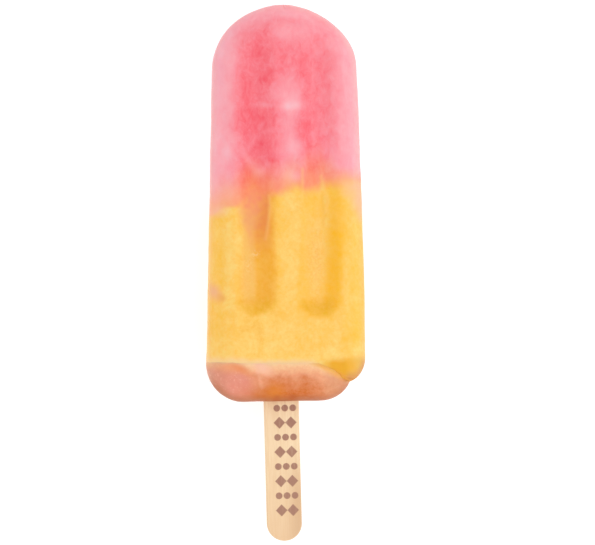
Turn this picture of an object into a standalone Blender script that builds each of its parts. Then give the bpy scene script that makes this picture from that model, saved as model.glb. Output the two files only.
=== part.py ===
"""An ice lolly in three layers on a flat wooden stick, lying on its back on z = 0 with its tip towards +Y.

The ice has the shape that comes out of a drawn metal mould: its faces and sides draw in towards the tip by
one draft angle, every edge is round, and two broad grooves run down each face. The back face is level,
so the whole draft in depth shows on the front. The last layer, at the stick end, was poured on
a frozen one. It is flush on the left and set in on the right, where a crease parts the two.

The ice is drawn in x, across, in v, the height above its stick end, and in depth either side
of the plane that the stick lies in.
"""

import math

import bmesh
import bpy
from mathutils import Matrix, Vector

MM = 0.001

# The ice
ICE_LENGTH = 111.8 * MM
BASE_HALF_WIDTH = 22.6 * MM
BASE_HALF_DEPTH = 12.2 * MM
DRAFT = math.radians(1.46)
EDGE_ROUND = 8.0 * MM
TIP_ARCH = 17.6 * MM
TIP_POWER = 1.89
TIP_FLAT = 0.05 * MM
TIP_LEAN = -0.4 * MM
TIP_LEAN_SPAN = (98.5 * MM, 107.5 * MM)

# The stick end
LEFT_CORNER = 10.6 * MM
LAST_LAYER_RIGHT = 17.7 * MM
LAST_LAYER_CORNER = 9.0 * MM
LIP_RIGHT = 21.95 * MM
LIP_CORNER = 6.5 * MM
CREASE_START = 4.0 * MM
CREASE_POWER = 2.2
CREASE_SHARE_OF_LAST_LAYER = 0.3

# The grooves
GROOVE_SPACING = 9.05 * MM
GROOVE_HALF_WIDTH = 6.0 * MM
GROOVE_DEPTH = 2.0 * MM
GROOVE_LOW_END = 24.3 * MM
GROOVE_FADE_SPAN = (96.0 * MM, 107.0 * MM)
GROOVE_WALL = 0.6

# The seams between the layers
FIRST_SEAM = 10.1 * MM
FIRST_SEAM_FALL = 4.4 * MM
FIRST_SEAM_TILT = 0.03
LIP_BOTTOM = FIRST_SEAM - FIRST_SEAM_FALL
SECOND_SEAM_EDGE = 54.2 * MM
SECOND_SEAM_RISE = 6.4 * MM
SECOND_SEAM_POWER = 3
DRIP_LENGTH = 6.5 * MM
DRIP_HALF_WIDTH = 3.6 * MM
GAP = 0.3 * MM

# The stick
STICK_LENGTH = 114.0 * MM
STICK_WIDTH = 10.0 * MM
STICK_THICKNESS = 2.0 * MM
STICK_EDGE = 0.35 * MM
STICK_SHOWN = 39.2 * MM
STICK_OFFSET = -1.5 * MM
STICK_LEAN = math.radians(1.05)

# How finely the pieces are drawn
CORNER_STEPS = 6
FACE_STEPS = 26
LAST_LAYER_RINGS = 7
MIDDLE_RINGS = 20
MIDDLE_CROWDING = 0.45
TIP_LAYER_RINGS = 19
TIP_CROWDING = 0.9
SIDE_ROUNDS = 40
STICK_SEGMENTS = 28
SHARP_ANGLE = math.radians(40)

# The finishes
PINK = (0.93, 0.33, 0.39, 1.0)
YELLOW = (0.97, 0.60, 0.13, 1.0)
PEACH = (0.80, 0.33, 0.16, 1.0)
WOOD = (0.93, 0.66, 0.38, 1.0)
ICE_ROUGHNESS = 0.42
WOOD_ROUGHNESS = 0.6


def clamp(value, low=0.0, high=1.0):
    return max(low, min(high, value))


def smooth(value):
    """A soft step from 0 to 1."""
    t = clamp(value)
    return t * t * (3 - 2 * t)


def smooth_between(span, value):
    low, high = span
    return smooth((value - low) / (high - low))


def mix(a, b, share):
    return a + (b - a) * share


# ---- the form of the ice ----


def half_width(v):
    """Half the width between the straight sides, which draw in towards the tip."""
    return BASE_HALF_WIDTH - math.tan(DRAFT) * v


def half_depth(v):
    """Half the thickness between the two faces."""
    return BASE_HALF_DEPTH - math.tan(DRAFT) * v


def shoulder():
    """The height where the straight sides turn into the arch of the tip."""
    return ICE_LENGTH - TIP_ARCH


def rounding(distance, radius=EDGE_ROUND):
    """How far a face has dropped at a distance in from a round edge."""
    short = clamp(radius - distance, 0.0, radius)
    return radius - math.sqrt(radius * radius - short * short)


def side_limit(v):
    """How far out the straight side, and above it the tip's arch, reaches at a height."""
    up = clamp((v - shoulder()) / TIP_ARCH)
    return half_width(min(v, shoulder())) * (1 - up**TIP_POWER) ** (1 / TIP_POWER)


def corner_limit(v, side, corner, low=0.0):
    """How far out a side with a rounded lower corner reaches at a height."""
    down = clamp(low + corner - v, 0.0, corner)
    return side - corner + math.sqrt(corner * corner - down * down)


def side_distance(x, v):
    """The way in from the sides and the tip's arch, measured along the line to the arch's middle."""
    up = v - shoulder()
    if up <= 0:
        return half_width(v) - abs(x)
    reach = (abs(x) / half_width(shoulder())) ** TIP_POWER + (up / TIP_ARCH) ** TIP_POWER
    return math.hypot(x, up) * (1 / reach ** (1 / TIP_POWER) - 1)


def corner_distance(x, v, side, corner, low=0.0):
    """The way in from an outline that goes down a side, round a corner and along a level end."""
    across = max(x - (side - corner), 0.0)
    down = max(low + corner - v, 0.0)
    return corner - math.hypot(across, down)


def tip_lean(v):
    """How far the tip has crept to one side."""
    return TIP_LEAN * smooth_between(TIP_LEAN_SPAN, v)


def groove(x, v):
    """How deep the pair of grooves is at a place, as a share of its full depth."""
    short = max(GROOVE_LOW_END + GROOVE_HALF_WIDTH - v, 0.0)
    reach = math.hypot(abs(x) - GROOVE_SPACING, short) / GROOVE_HALF_WIDTH
    return smooth((1 - reach) / GROOVE_WALL) * (1 - smooth_between(GROOVE_FADE_SPAN, v))


def crease(x):
    """How strongly the crease between the last layer and the lip above it shows, from left to right."""
    return clamp((x - CREASE_START) / (LIP_RIGHT - LIP_CORNER - CREASE_START)) ** CREASE_POWER


# ---- the seams, as heights across the ice ----


def first_seam(x):
    """Between the last layer and the middle one: nearly level, and sloping down to the notch on the right."""
    fall = FIRST_SEAM_FALL * smooth_between((CREASE_START, LAST_LAYER_RIGHT), x)
    return FIRST_SEAM - fall + FIRST_SEAM_TILT * max(-x, 0.0)


def second_seam(x):
    """Between the middle layer and the tip layer: it arches up, with a drip down the left groove."""
    across = clamp(abs(x) / BASE_HALF_WIDTH)
    drip = DRIP_LENGTH * math.exp(-(((x + GROOVE_SPACING) / DRIP_HALF_WIDTH) ** 2))
    return SECOND_SEAM_EDGE + SECOND_SEAM_RISE * (1 - across**SECOND_SEAM_POWER) - drip


def stick_end(x):
    return 0.0


def tip(x):
    return ICE_LENGTH - TIP_FLAT


def above(seam):
    return lambda x: seam(x) + GAP / 2


def below(seam):
    return lambda x: seam(x) - GAP / 2


# ---- the layers' outlines, and half their depth at a place ----


def left_limit(v):
    return -min(side_limit(v), corner_limit(v, half_width(v), LEFT_CORNER))


def last_layer_right(v):
    return corner_limit(v, LAST_LAYER_RIGHT, LAST_LAYER_CORNER)


def lip_side(v):
    return min(half_width(v), LIP_RIGHT)


def upper_right(v):
    """The right side of the upper layers, which overhangs the last layer as a rounded lip."""
    return min(side_limit(v), corner_limit(v, lip_side(v), LIP_CORNER, LIP_BOTTOM))


def last_layer_depth(x, v):
    left = corner_distance(-x, v, half_width(v), LEFT_CORNER)
    right = corner_distance(x, v, LAST_LAYER_RIGHT, LAST_LAYER_CORNER)
    drop = CREASE_SHARE_OF_LAST_LAYER * crease(x) * rounding(first_seam(x) - v)
    return half_depth(v) - rounding(min(left, right)) - drop


def lip_drop(x, v):
    """How far the lip has rounded away: fully round its corner, and less to the left, along the crease."""
    seam = first_seam(x)
    if x < LIP_RIGHT - LIP_CORNER:
        return crease(x) * rounding(v - seam)
    return rounding(corner_distance(x, v, lip_side(v), LIP_CORNER, seam))


def upper_depth(x, v):
    """Half the depth of the middle layer and the tip layer, which share one form."""
    left = corner_distance(-x, v, half_width(v), LEFT_CORNER)
    drop = max(rounding(min(side_distance(x, v), left)), lip_drop(x, v))
    return half_depth(v) - drop - GROOVE_DEPTH * groove(x, v)


# ---- drawing a layer ----


def column_place(column, left, right):
    """The place across of one column: close together round the edges, even along the face."""
    corner = min(EDGE_ROUND, (right - left) / 2)
    last = 2 * CORNER_STEPS + FACE_STEPS
    from_edge = min(column, last - column)
    if from_edge > CORNER_STEPS:
        return mix(left + corner, right - corner, (column - CORNER_STEPS) / FACE_STEPS)
    inward = corner * (1 - math.cos(math.pi / 2 * from_edge / CORNER_STEPS))
    return left + inward if column < last / 2 else right - inward


def side_point(limit, low, high, share):
    """Where a ring of a layer, which lies a share of the way up it, meets the outline on one side."""
    x = limit(mix(low(0.0), high(0.0), share))
    for _ in range(SIDE_ROUNDS):
        x = mix(x, limit(mix(low(x), high(x), share)), 0.5)
    return x


def close_below(share):
    """Ring spacing that starts close together and opens out."""
    return 1 - math.cos(math.pi / 2 * share)


def closer_below(share):
    """Ring spacing that is a little closer at the lower seam."""
    return mix(share, close_below(share), MIDDLE_CROWDING)


def close_above(share):
    """Ring spacing that closes up under the tip."""
    return mix(share, math.sin(math.pi / 2 * share), TIP_CROWDING)


def slab(columns, rings):
    """A unit box with a grid of columns and rings on its two faces. x and y run from 0 to 1, z is -1 or 1."""
    bm = bmesh.new()
    bmesh.ops.create_grid(bm, x_segments=columns, y_segments=rings, size=0.5)
    bmesh.ops.translate(bm, verts=bm.verts, vec=(0.5, 0.5, 1.0))
    made = bmesh.ops.extrude_face_region(bm, geom=bm.faces[:])
    back = [item for item in made["geom"] if isinstance(item, bmesh.types.BMVert)]
    bmesh.ops.translate(bm, verts=back, vec=(0.0, 0.0, -2.0))
    return bm


def layer(name, colour, rings, spacing, seams, limits, depth):
    """One layer of ice: a slab whose rings follow the seams below and above it."""
    low, high = seams
    columns = 2 * CORNER_STEPS + FACE_STEPS
    bm = slab(columns, rings)
    shares = [spacing(ring / rings) for ring in range(rings + 1)]
    sides = [[side_point(limit, low, high, share) for limit in limits] for share in shares]
    for vert in bm.verts:
        ring = round(vert.co.y * rings)
        x = column_place(round(vert.co.x * columns), *sides[ring])
        v = mix(low(x), high(x), shares[ring])
        z = half_depth(v) + math.copysign(depth(x, v), vert.co.z)
        vert.co = (x + tip_lean(v), v, z)
    bmesh.ops.recalc_face_normals(bm, faces=bm.faces)
    return finish_object(bm, name, material(name, colour, ICE_ROUGHNESS))


def ice_layers():
    last = layer(
        "peach_ice", PEACH, LAST_LAYER_RINGS, close_below,
        (stick_end, below(first_seam)), (left_limit, last_layer_right), last_layer_depth,
    )
    middle = layer(
        "yellow_ice", YELLOW, MIDDLE_RINGS, closer_below,
        (above(first_seam), below(second_seam)), (left_limit, upper_right), upper_depth,
    )
    first = layer(
        "pink_ice", PINK, TIP_LAYER_RINGS, close_above,
        (above(second_seam), tip), (left_limit, upper_right), upper_depth,
    )
    return [last, middle, first]


# ---- the stick ----


def bar(extra=0.0):
    """A flat bar with half-round ends, along +Y and centred on the origin, larger all round by extra."""
    run = (STICK_LENGTH - STICK_WIDTH) / 2
    thickness = STICK_THICKNESS + 2 * extra
    bm = bmesh.new()
    bmesh.ops.create_circle(bm, cap_ends=True, segments=STICK_SEGMENTS, radius=STICK_WIDTH / 2 + extra)
    half_turn = Matrix.Rotation(math.pi / STICK_SEGMENTS, 3, "Z")
    bmesh.ops.rotate(bm, verts=bm.verts, matrix=half_turn)
    for vert in bm.verts:
        vert.co.y += math.copysign(run, vert.co.y)
    made = bmesh.ops.extrude_face_region(bm, geom=bm.faces[:])
    raised = [item for item in made["geom"] if isinstance(item, bmesh.types.BMVert)]
    bmesh.ops.translate(bm, verts=raised, vec=(0.0, 0.0, thickness))
    bmesh.ops.translate(bm, verts=bm.verts, vec=(0.0, 0.0, -thickness / 2))
    bmesh.ops.recalc_face_normals(bm, faces=bm.faces)
    return bm


def stick_place():
    """Where the stick's middle is and how it turns: along the middle plane, leaning a little across."""
    along = STICK_LENGTH / 2 - STICK_SHOWN
    across = STICK_OFFSET - math.tan(STICK_LEAN) * along
    lean = Matrix.Rotation(STICK_LEAN, 4, "Z")
    tilt = Matrix.Rotation(-DRAFT, 4, "X")
    return Matrix.Translation((across, along, half_depth(along))) @ lean @ tilt


def stick():
    bm = bar()
    rims = [edge for edge in bm.edges if edge.calc_face_angle() > SHARP_ANGLE]
    bmesh.ops.bevel(bm, geom=rims, offset=STICK_EDGE, segments=2, profile=0.5, affect="EDGES", material=-1)
    bmesh.ops.transform(bm, matrix=stick_place(), verts=bm.verts)
    return finish_object(bm, "stick", material("stick", WOOD, WOOD_ROUGHNESS))


def stick_slot(layers):
    """The slot that the ice leaves for the stick, cut from each layer."""
    bm = bar(extra=GAP)
    bmesh.ops.transform(bm, matrix=stick_place(), verts=bm.verts)
    cutter = finish_object(bm, "stick_slot")
    cutter.hide_render = True
    cutter.display_type = "WIRE"
    for piece in layers:
        cut = piece.modifiers.new("stick_slot", "BOOLEAN")
        cut.object = cutter
        cut.operation = "DIFFERENCE"
        cut.solver = "EXACT"
    return cutter


# ---- putting it together ----


def material(name, colour, roughness):
    made = bpy.data.materials.new(name)
    made.use_nodes = True
    shader = made.node_tree.nodes["Principled BSDF"]
    shader.inputs["Base Color"].default_value = colour
    shader.inputs["Roughness"].default_value = roughness
    shader.inputs["Metallic"].default_value = 0.0
    return made


def finish_object(bm, name, finish=None):
    mesh = bpy.data.meshes.new(name)
    bm.to_mesh(mesh)
    bm.free()
    mesh.shade_smooth()
    mesh.set_sharp_from_angle(angle=SHARP_ANGLE)
    if finish:
        mesh.materials.append(finish)
    made = bpy.data.objects.new(name, mesh)
    bpy.context.scene.collection.objects.link(made)
    return made


def centre_on_origin(shown, guides):
    """Moves everything so that the origin is under the middle of the object's box, on the ground."""
    places = [vert.co for piece in shown for vert in piece.data.vertices]
    low = Vector([min(co[axis] for co in places) for axis in range(3)])
    high = Vector([max(co[axis] for co in places) for axis in range(3)])
    shift = Vector((-(low.x + high.x) / 2, -(low.y + high.y) / 2, -low.z))
    for piece in shown + guides:
        piece.data.transform(Matrix.Translation(shift))


def main():
    for item in list(bpy.data.objects):
        bpy.data.objects.remove(item)
    layers = ice_layers()
    wood = stick()
    slot = stick_slot(layers)
    centre_on_origin(layers + [wood], [slot])


main()
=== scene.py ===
"""Dresses the packed ice lolly: cloudy, frosted ice in three colours on a birch stick with marks branded into it.

The ice is drawn like the solids under it: in x, across from its own middle, in v, the height above its stick
end, and in depth either side of the plane that the stick lies in. It is fine enough to carry lumps, melt
lines and frost. Where a colour, a frost or a stain lies is worked out for each point and kept as a share
from 0 to 1, which the materials read.
"""

import math

import bmesh
import bpy
from mathutils import Matrix, Vector, noise


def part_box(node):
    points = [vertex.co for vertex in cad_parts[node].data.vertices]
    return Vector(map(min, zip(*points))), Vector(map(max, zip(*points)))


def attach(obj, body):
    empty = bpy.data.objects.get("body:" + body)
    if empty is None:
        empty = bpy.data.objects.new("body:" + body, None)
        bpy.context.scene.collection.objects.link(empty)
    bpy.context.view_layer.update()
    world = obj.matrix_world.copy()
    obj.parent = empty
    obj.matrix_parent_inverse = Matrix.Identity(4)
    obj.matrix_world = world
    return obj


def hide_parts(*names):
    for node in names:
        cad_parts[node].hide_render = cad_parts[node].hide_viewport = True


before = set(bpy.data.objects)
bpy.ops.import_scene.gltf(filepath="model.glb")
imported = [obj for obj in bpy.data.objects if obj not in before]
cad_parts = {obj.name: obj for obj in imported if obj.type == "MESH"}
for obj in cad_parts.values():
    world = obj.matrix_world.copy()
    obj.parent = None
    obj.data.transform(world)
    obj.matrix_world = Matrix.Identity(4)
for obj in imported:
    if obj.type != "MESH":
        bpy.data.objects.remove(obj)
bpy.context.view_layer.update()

MM = 0.001

# Places from the frame
PINK_LOW, PINK_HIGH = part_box("pink_ice")
YELLOW_LOW, YELLOW_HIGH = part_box("yellow_ice")
PEACH_LOW, PEACH_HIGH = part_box("peach_ice")
STICK_LOW, STICK_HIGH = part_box("stick")
AXIS = (PINK_LOW.x + PINK_HIGH.x) / 2
ICE_END = PEACH_LOW.y
ICE_LENGTH = PINK_HIGH.y - ICE_END
FIRST_SEAM_TOP = PEACH_HIGH.y - ICE_END

# The mould's form
DRAFT = math.radians(1.46)
BASE_HALF_WIDTH = AXIS - YELLOW_LOW.x + math.tan(DRAFT) * FIRST_SEAM_TOP + 0.1 * MM
EDGE_ROUND = 8.0 * MM
BASE_HALF_DEPTH = PEACH_HIGH.z / 2 + math.tan(DRAFT) * EDGE_ROUND
TIP_ARCH = 17.6 * MM
TIP_POWER = 1.87
TIP_LEAN = -0.45 * MM
TIP_LEAN_SPAN = (98.5 * MM, 107.5 * MM)
SHOULDER_SWELL = 0.006
SHOULDER_SPAN = (94.5 * MM, 102.5 * MM, 109.5 * MM)

# The stick end
ICE_FOOT = 0.3 * MM
LEFT_CORNER = 10.2 * MM
LAST_LAYER_RIGHT = 18.1 * MM
LAST_LAYER_CORNER = 8.9 * MM
LIP_RIGHT = YELLOW_HIGH.x - AXIS - 0.15 * MM
LIP_CORNER = 7.0 * MM
LIP_BOTTOM = YELLOW_LOW.y - ICE_END - 0.45 * MM
CREASE_START = 5.0 * MM
CREASE_POWER = 2.0
CREASE_DEPTH = 0.25
CREASE_SHARE_OF_LAST_LAYER = 0.08
FIRST_SEAM = 11.0 * MM
FIRST_SEAM_TURN = 7.6 * MM
FIRST_SEAM_BEND = 1.5 * MM
FIRST_SEAM_SLOPE = 0.495
SEAM_OVERLAP = 0.7 * MM
RIM_OVERLAP = 0.45 * MM
RIM_WIDTH = 1.2 * MM
PROUD = 0.05 * MM

# The grooves
GROOVE_SPACING = 9.3 * MM
GROOVE_HALF_WIDTH = 6.0 * MM
GROOVE_DEPTHS = (1.8 * MM, 1.0 * MM)
GROOVE_DEPTH_SPAN = (40.0 * MM, 75.0 * MM)
GROOVE_LOW_END = 24.0 * MM
GROOVE_FADE_SPAN = (96.0 * MM, 105.5 * MM)
GROOVE_WALL = 0.95

# How finely the ice is drawn
CORNER_STEPS = 16
FACE_STEPS = 100
UPPER_RINGS = 250
LAST_LAYER_RINGS = 56
SIDE_STRIPS = 6
SIDE_ROUNDS = 40

# The relief: (height, size) of each kind of unevenness
LUMPS = ((0.16 * MM, 11.0 * MM), (0.07 * MM, 4.2 * MM), (0.03 * MM, 1.7 * MM))
GRAIN = (0.05 * MM, 0.75 * MM)
MELT_LINE = 0.08 * MM


def shade(red, green, blue):
    """A linear colour from one in display values from 0 to 255."""
    def linear(value):
        value /= 255
        return value / 12.92 if value <= 0.04045 else ((value + 0.055) / 1.055) ** 2.4
    return (linear(red), linear(green), linear(blue), 1.0)


PINK = shade(255, 170, 180)
PINK_DEEP = shade(252, 88, 104)
PINK_DULL = shade(247, 88, 103)
PINK_PALE = shade(255, 224, 229)
PINK_RIM_SHADE = shade(238, 172, 188)
VEIL = shade(255, 175, 124)
VEIL_DEEP = shade(250, 138, 92)
MARGIN_PEACH = shade(253, 193, 162)
YELLOW = shade(255, 202, 102)
YELLOW_DEEP = shade(254, 188, 46)
YELLOW_DULL = shade(245, 175, 52)
LOW_END_SHADE_YELLOW = shade(240, 179, 44)
YELLOW_PALE = shade(255, 222, 140)
FLOOR_YELLOW = shade(245, 190, 100)
YELLOW_FROST = shade(249, 188, 98)
YELLOW_FROST_PALE = shade(255, 208, 126)
STAIN_TOP = shade(250, 146, 112)
STAIN_RED = shade(242, 167, 108)
STAIN_ORANGE = shade(238, 146, 82)
MELT_HIGHLIGHT = shade(255, 204, 124)
GRAIN_PALE = shade(255, 226, 180)
SALMON = shade(244, 182, 132)
SALMON_DEEP = shade(242, 174, 90)
CREAM = shade(255, 208, 154)
CORNER_SHADE_YELLOW = shade(236, 173, 44)
CORNER_RIM = shade(238, 165, 74)
LIP_SHADE_YELLOW = shade(234, 184, 88)
LIP_EDGE_SHADE = shade(212, 150, 90)
PEACH = shade(237, 164, 124)
PEACH_DEEP = shade(206, 105, 30)
PEACH_DARK = shade(190, 96, 42)
AMBER_ORANGE = shade(227, 134, 38)
# Painted shade at the ice's low outline, also used for a thin seam line.
PEACH_LOW = shade(186, 108, 66)
PEACH_WARM = shade(207, 116, 50)
PEACH_RIGHT_SHADE = shade(205, 148, 110)
RIM_AMBER = shade(243, 176, 82)
PEACH_RED = shade(229, 146, 125)
LOBE_LEFT_SHADE = shade(217, 145, 120)
LOBE_PALE = shade(240, 168, 144)
LOBE_SPECK = shade(252, 200, 180)
LOBE_WARM = shade(240, 165, 116)
PEACH_BAND = shade(235, 146, 92)
PEACH_RIM_FROST_AND_HIGHLIGHT = shade(254, 205, 156)
PEACH_PINK = shade(253, 196, 168)
EDGE_SHADE = shade(246, 238, 226)
WOOD = shade(255, 230, 190)
WOOD_LOW = shade(239, 202, 160)
WOOD_SHADED = shade(223, 184, 143)
WOOD_DARK = shade(226, 182, 134)
MARK = shade(170, 124, 103)


def clamp(value, low=0.0, high=1.0):
    return max(low, min(high, value))


def smooth(value):
    """A soft step from 0 to 1."""
    t = clamp(value)
    return t * t * (3 - 2 * t)


def smooth_between(span, value):
    low, high = span
    return smooth((value - low) / (high - low))


def mix(a, b, share):
    return a + (b - a) * share


def uneven(place, size, seed=0.0):
    """Smooth unevenness from about -1 to 1, with bumps of about the size given."""
    return noise.noise(place / size + Vector((seed, seed, seed)))


# ---- the form of the ice ----


def half_width(v):
    return BASE_HALF_WIDTH - math.tan(DRAFT) * v


def half_depth(v):
    return BASE_HALF_DEPTH - math.tan(DRAFT) * v


def shoulder():
    return ICE_LENGTH - TIP_ARCH


def rounding(distance, radius=EDGE_ROUND):
    """How far a face has dropped at a distance in from a round edge."""
    short = clamp(radius - distance, 0.0, radius)
    return radius - math.sqrt(radius * radius - short * short)


def side_limit(v):
    up = clamp((v - shoulder()) / TIP_ARCH)
    return half_width(min(v, shoulder())) * (1 - up**TIP_POWER) ** (1 / TIP_POWER)


def corner_limit(v, side, corner, low=0.0):
    """How far out a side with a rounded lower corner reaches at a height."""
    down = clamp(low + corner - v, 0.0, corner)
    return side - corner + math.sqrt(corner * corner - down * down)


def side_distance(x, v):
    """The way in from the sides and the tip's arch, measured along the line to the arch's middle."""
    up = v - shoulder()
    if up <= 0:
        return half_width(v) - abs(x)
    reach = (abs(x) / half_width(shoulder())) ** TIP_POWER + (up / TIP_ARCH) ** TIP_POWER
    return math.hypot(x, up) * (1 / reach ** (1 / TIP_POWER) - 1)


def corner_distance(x, v, side, corner, low=0.0):
    """The way in from an outline that goes down a side, round a corner and along a level end."""
    across = max(x - (side - corner), 0.0)
    down = max(low + corner - v, 0.0)
    return corner - math.hypot(across, down)


def tip_lean(v):
    return TIP_LEAN * smooth_between(TIP_LEAN_SPAN, v)


def swell(v):
    """How much wider the ice is at its shoulders than the mould's plain arch."""
    low, middle, high = SHOULDER_SPAN
    return 1 + SHOULDER_SWELL * smooth_between((low, middle), v) * (1 - smooth_between((middle, high), v))


def groove_reach(x, v):
    """The way from the middle line of the nearer groove: 1 at the groove's edge."""
    short = max(GROOVE_LOW_END + GROOVE_HALF_WIDTH - v, 0.0)
    return math.hypot(abs(x) - GROOVE_SPACING, short) / GROOVE_HALF_WIDTH


def groove_top(v):
    return 1 - smooth_between(GROOVE_FADE_SPAN, v)


def groove(x, v):
    """How deep the grooves are cut: fading and getting shallower towards the tip."""
    deep, shallow = GROOVE_DEPTHS
    depth = mix(deep, shallow, smooth_between(GROOVE_DEPTH_SPAN, v))
    return depth * smooth((1 - groove_reach(x, v)) / GROOVE_WALL) * groove_top(v)


def crease(x):
    """How strongly the crease between the last layer and the lip above it shows, from left to right."""
    return clamp((x - CREASE_START) / (LIP_RIGHT - LIP_CORNER - CREASE_START)) ** CREASE_POWER


def first_seam(x):
    """Between the last layer and the yellow: nearly level, and sloping down to the notch on the right."""
    past = x - FIRST_SEAM_TURN
    drop = FIRST_SEAM_SLOPE * (past + math.hypot(past, FIRST_SEAM_BEND)) / 2
    return max(FIRST_SEAM - drop, LIP_BOTTOM)


def seam_bottom(x):
    """The yellow reaches a little way in under the last layer's rim."""
    return first_seam(x) - SEAM_OVERLAP


def stick_end(x):
    return ICE_FOOT


def tip(x):
    return ICE_LENGTH


def left_limit(v):
    return -min(side_limit(v), corner_limit(v, half_width(v), LEFT_CORNER, ICE_FOOT))


def last_layer_right(v):
    return corner_limit(v, LAST_LAYER_RIGHT, LAST_LAYER_CORNER, ICE_FOOT)


def lip_side(v):
    return min(half_width(v), LIP_RIGHT)


def upper_right(v):
    return min(side_limit(v), corner_limit(v, lip_side(v), LIP_CORNER, LIP_BOTTOM))


def last_layer_depth(x, v):
    left = corner_distance(-x, v, half_width(v), LEFT_CORNER, ICE_FOOT)
    right = corner_distance(x, v, LAST_LAYER_RIGHT, LAST_LAYER_CORNER, ICE_FOOT)
    drop = CREASE_SHARE_OF_LAST_LAYER * crease(x) * rounding(first_seam(x) - v)
    return half_depth(v) - rounding(min(left, right)) - drop


def lip_drop(x, v):
    """How far the lip has rounded away: fully down its side, and less round the corner and along the crease."""
    seam = first_seam(x)
    side = lip_side(v)
    across, down = x - (side - LIP_CORNER), seam + LIP_CORNER - v
    if across <= 0:
        return CREASE_DEPTH * crease(x) * rounding(v - seam)
    turned = math.atan2(max(down, 0.0), across) / (math.pi / 2)
    return mix(1.0, CREASE_DEPTH, smooth(turned)) * rounding(corner_distance(x, v, side, LIP_CORNER, seam))


def upper_depth(x, v):
    left = corner_distance(-x, v, half_width(v), LEFT_CORNER, ICE_FOOT)
    drop = max(rounding(min(side_distance(x, v), left)), lip_drop(x, v))
    return half_depth(v) - drop - groove(x, v)


# ---- soft shapes that the colours and the relief are made of ----


def patch(x, v, shape):
    """A soft patch: (across, up, half width, half height, turn in degrees), 1 in its middle and 0 outside."""
    across, up, wide, high, turn = shape
    angle = math.radians(turn)
    dx, dv = x / MM - across, v / MM - up
    along = dx * math.cos(angle) + dv * math.sin(angle)
    aside = dv * math.cos(angle) - dx * math.sin(angle)
    return smooth(1 - math.hypot(along / wide, aside / high))


def patches(x, v, shapes):
    """Several patches, each with its strength first."""
    return sum(strength * patch(x, v, shape) for strength, *shape in shapes)


def streak(x, v, route, width):
    """A soft line along a route: 1 on it and 0 at its width away."""
    point = Vector((x / MM, v / MM))
    nearest = min(line_distance(point, Vector(a), Vector(b)) for a, b in zip(route, route[1:]))
    return smooth(1 - nearest / width)


def line_distance(point, start, end):
    run = end - start
    share = clamp((point - start).dot(run) / run.length_squared)
    return (point - start - run * share).length


def between(low, high, soft_low, soft_high, value):
    """1 from low to high, fading over the two soft spans outside them."""
    return smooth((value - low + soft_low) / soft_low) * smooth((high + soft_high - value) / soft_high)


# ---- where the colours lie on the upper ice, all in millimetres ----

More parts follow.
